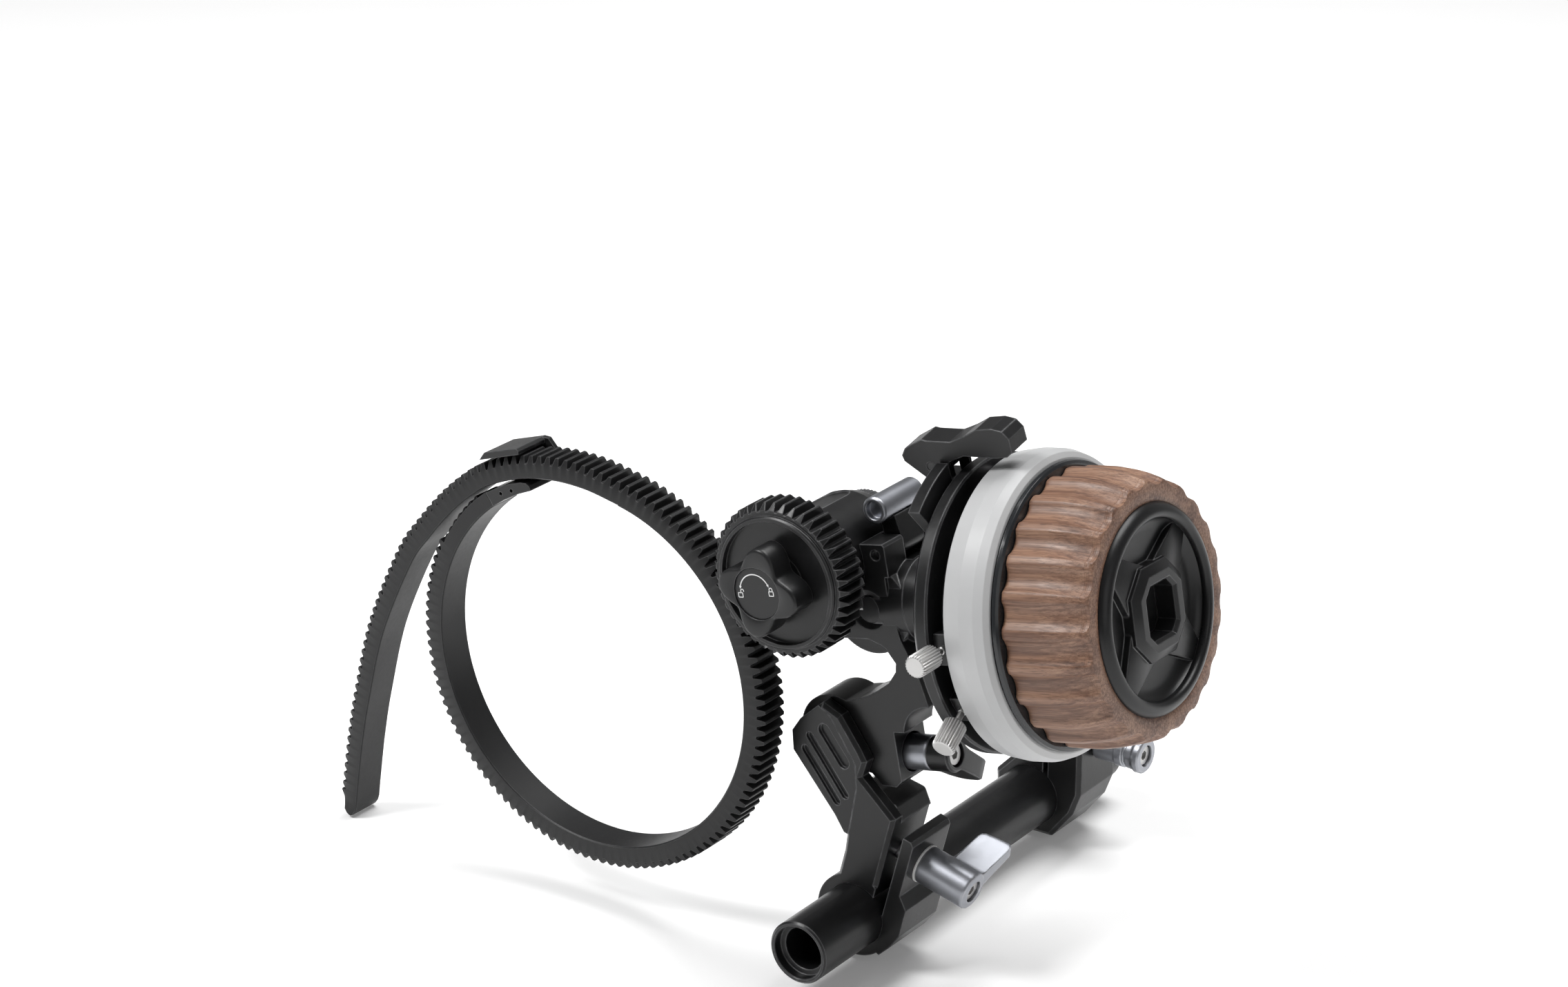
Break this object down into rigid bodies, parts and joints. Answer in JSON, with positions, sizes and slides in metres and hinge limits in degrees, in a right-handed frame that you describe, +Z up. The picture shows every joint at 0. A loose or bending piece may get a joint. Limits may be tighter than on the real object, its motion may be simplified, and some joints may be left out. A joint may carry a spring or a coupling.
{
  "type": "follow focus unit",
  "caption": "Rod-mounted follow focus: fluted walnut hand wheel with marking ring and stops, gear train, drive gear, toothed lens belt, rod, clamps and levers.",
  "frame": {"origin": "centre of the rear clamp's flat face that meets the camera cage", "axes": "+X to the hand wheel side, +Y along the rod away from the lens front, +Z up"},
  "size_m": [0.2209, 0.136, 0.1365],
  "materials": {
    "black_metal": "black anodised, fine bead-blasted",
    "grey_metal": "satin grey anodised",
    "silver_metal": "fine turned, knurled",
    "steel": "ground",
    "bronze": "turned",
    "black_plastic": "fine matte",
    "belt_rubber": "moulded matte",
    "white_plastic": "smooth satin writable",
    "white_nylon": "smooth",
    "gloss_ring": "gloss",
    "walnut": "oiled, open grain"
  },
  "bodies": {
    "rear_clamp": {"rear_clamp_body": "black_metal"},
    "rod": {"rod_tube": "black_metal"},
    "rear_lever_stud": {"rear_lever_stud": "steel", "rear_lever_screw": "silver_metal", "rear_lever_spring": "steel"},
    "rear_lever": {"rear_lever": "grey_metal"},
    "arm": {"arm_body": "black_metal", "arm_panel": "black_metal", "nylon_washer": "white_nylon", "pivot_pin": "steel", "pivot_clip": "steel"},
    "front_lever_stud": {"front_lever_stud": "steel", "front_lever_screw": "silver_metal", "front_lever_spring": "steel"},
    "front_lever": {"front_lever": "grey_metal"},
    "head": {"head_frame": "black_metal", "gearbox_cover": "black_metal", "cross_bush": "bronze", "lock_pin": "steel", "spindle_housing": "black_metal", "spindle_bearings": "steel", "flange": "black_metal", "flange_screws": "steel", "stop_track": "black_metal", "drag_washer": "white_nylon", "pointer_bracket": "black_metal", "pointer_pin": "steel"},
    "pivot_lever_stud": {"pivot_lever_stud": "steel", "pivot_lever_screw": "silver_metal", "pivot_lever_spring": "steel"},
    "pivot_lever": {"pivot_lever": "grey_metal"},
    "pointer": {"pointer_lever": "black_metal"},
    "lock_lever": {"lock_neck": "black_metal", "lock_tube": "grey_metal"},
    "barrel": {"barrel_tube": "black_metal", "barrel_ring": "black_metal", "barrel_bearings": "steel"},
    "drive": {"drive_shaft": "steel", "drive_pinion": "steel", "drive_gear": "black_plastic"},
    "knob": {"gear_knob": "black_plastic", "knob_disc": "black_plastic"},
    "cross_shaft": {"cross_shaft": "steel", "cross_spur": "steel", "cross_bevel": "steel"},
    "wheel": {"wheel_spindle": "steel", "spindle_bevel": "steel", "wheel_hub": "black_metal", "stop_peg": "steel", "trim_ring": "gloss_ring", "grip_ring": "walnut", "cap_bead": "black_plastic", "wheel_cap": "black_plastic"},
    "marking_ring": {"marking_ring": "white_plastic"},
    "stop_a": {"stop_block_a": "black_metal"},
    "stop_b": {"stop_block_b": "black_metal"},
    "stop_screw_a": {"stop_screw_a": "silver_metal"},
    "stop_screw_b": {"stop_screw_b": "silver_metal"},
    "belt": {"belt_strap": "belt_rubber", "belt_buckle": "black_plastic"}
  },
  "joints": [
    {"name": "rod_slide", "type": "slide", "parent": "rear_clamp", "child": "rod", "axis": [0, 1, 0], "range_m": [-0.015, 0.01]},
    {"name": "arm_slide", "type": "slide", "parent": "rod", "child": "arm", "axis": [0, 1, 0], "range_m": [-0.018, 0.04]},
    {"name": "rear_lever_turn", "type": "hinge", "parent": "rear_clamp", "child": "rear_lever_stud", "pos_m": [0.019, 0, -0.0103], "axis": [1, 0, 0], "range_deg": [-60, 60]},
    {"name": "rear_lever_pull", "type": "slide", "parent": "rear_lever_stud", "child": "rear_lever", "axis": [1, 0, 0], "range_m": [0, 0.002], "stiffness_N_per_m": 600, "springref_m": -0.0008},
    {"name": "front_lever_turn", "type": "hinge", "parent": "arm", "child": "front_lever_stud", "pos_m": [0.01898, -0.07625, -0.01101], "axis": [0.9681, 0, -0.2504], "range_deg": [-60, 60]},
    {"name": "front_lever_pull", "type": "slide", "parent": "front_lever_stud", "child": "front_lever", "axis": [0.9681, 0, -0.2504], "range_m": [0, 0.002], "stiffness_N_per_m": 600, "springref_m": -0.0008},
    {"name": "head_pivot", "type": "hinge", "parent": "arm", "child": "head", "pos_m": [-0.00334, -0.076, 0.01712], "axis": [0, 1, 0], "range_deg": [-15, 6]},
    {"name": "pivot_lever_turn", "type": "hinge", "parent": "head", "child": "pivot_lever_stud", "pos_m": [0.01083, -0.0737, 0.01403], "axis": [0.9808, 0, 0.1949], "range_deg": [-15, 35]},
    {"name": "pivot_lever_pull", "type": "slide", "parent": "pivot_lever_stud", "child": "pivot_lever", "axis": [0.9808, 0, 0.1949], "range_m": [0, 0.002], "stiffness_N_per_m": 600, "springref_m": -0.0008},
    {"name": "pointer_tilt", "type": "hinge", "parent": "head", "child": "pointer", "pos_m": [0.02111, -0.07681, 0.08699], "axis": [0.0338, -0.9848, -0.1703], "range_deg": [0, 10], "stiffness_Nm_per_rad": 0.05, "springref_deg": -5.73},
    {"name": "lock_turn", "type": "hinge", "parent": "head", "child": "lock_lever", "pos_m": [0.00691, -0.068, 0.06249], "axis": [0, 1, 0], "range_deg": [0, 45]},
    {"name": "barrel_slide", "type": "slide", "parent": "head", "child": "barrel", "axis": [0, 1, 0], "range_m": [-0.008, 0.0035]},
    {"name": "drive_turn", "type": "hinge", "parent": "barrel", "child": "drive", "pos_m": [-0.008, -0.091, 0.058], "axis": [0, 1, 0], "range_deg": [-81, 221]},
    {"name": "knob_turn", "type": "hinge", "parent": "drive", "child": "knob", "pos_m": [-0.008, -0.096, 0.058], "axis": [0, 1, 0], "range_deg": [0, 90]},
    {"name": "cross_turn", "type": "hinge", "parent": "head", "child": "cross_shaft", "pos_m": [0.0053, -0.071, 0.04911], "axis": [0, 1, 0], "range_deg": [-221, 81]},
    {"name": "wheel_turn", "type": "hinge", "parent": "head", "child": "wheel", "pos_m": [0.03834, -0.0708, 0.05568], "axis": [0.9808, 0, 0.1949], "range_deg": [-220, 80]},
    {"name": "ring_turn", "type": "hinge", "parent": "wheel", "child": "marking_ring", "pos_m": [0.04619, -0.0708, 0.05723], "axis": [0.9808, 0, 0.1949], "range_deg": [-180, 180]},
    {"name": "stop_a_turn", "type": "hinge", "parent": "head", "child": "stop_a", "pos_m": [0.03834, -0.0708, 0.05568], "axis": [0.9808, 0, 0.1949], "range_deg": [-60, 8]},
    {"name": "stop_b_turn", "type": "hinge", "parent": "head", "child": "stop_b", "pos_m": [0.03834, -0.0708, 0.05568], "axis": [0.9808, 0, 0.1949], "range_deg": [-8, 60]},
    {"name": "stop_screw_a_turn", "type": "hinge", "parent": "stop_a", "child": "stop_screw_a", "pos_m": [0.03864, -0.1088, 0.05573], "axis": [0, -1, 0], "range_deg": [0, 180]},
    {"name": "stop_screw_b_turn", "type": "hinge", "parent": "stop_b", "child": "stop_screw_b", "pos_m": [0.04223, -0.10404, 0.03766], "axis": [0.0945, -0.8746, -0.4755], "range_deg": [0, 180]},
    {"name": "belt_turn", "type": "hinge", "parent": "barrel", "child": "belt", "pos_m": [-0.06286, -0.089, 0.02203], "axis": [0, 1, 0], "range_deg": [-79, 29.5]}
  ],
  "couplings": [
    {"joint": "cross_turn", "follows": "wheel_turn", "ratio": 1},
    {"joint": "drive_turn", "follows": "wheel_turn", "ratio": -1},
    {"joint": "belt_turn", "follows": "wheel_turn", "ratio": 0.35537}
  ]
}
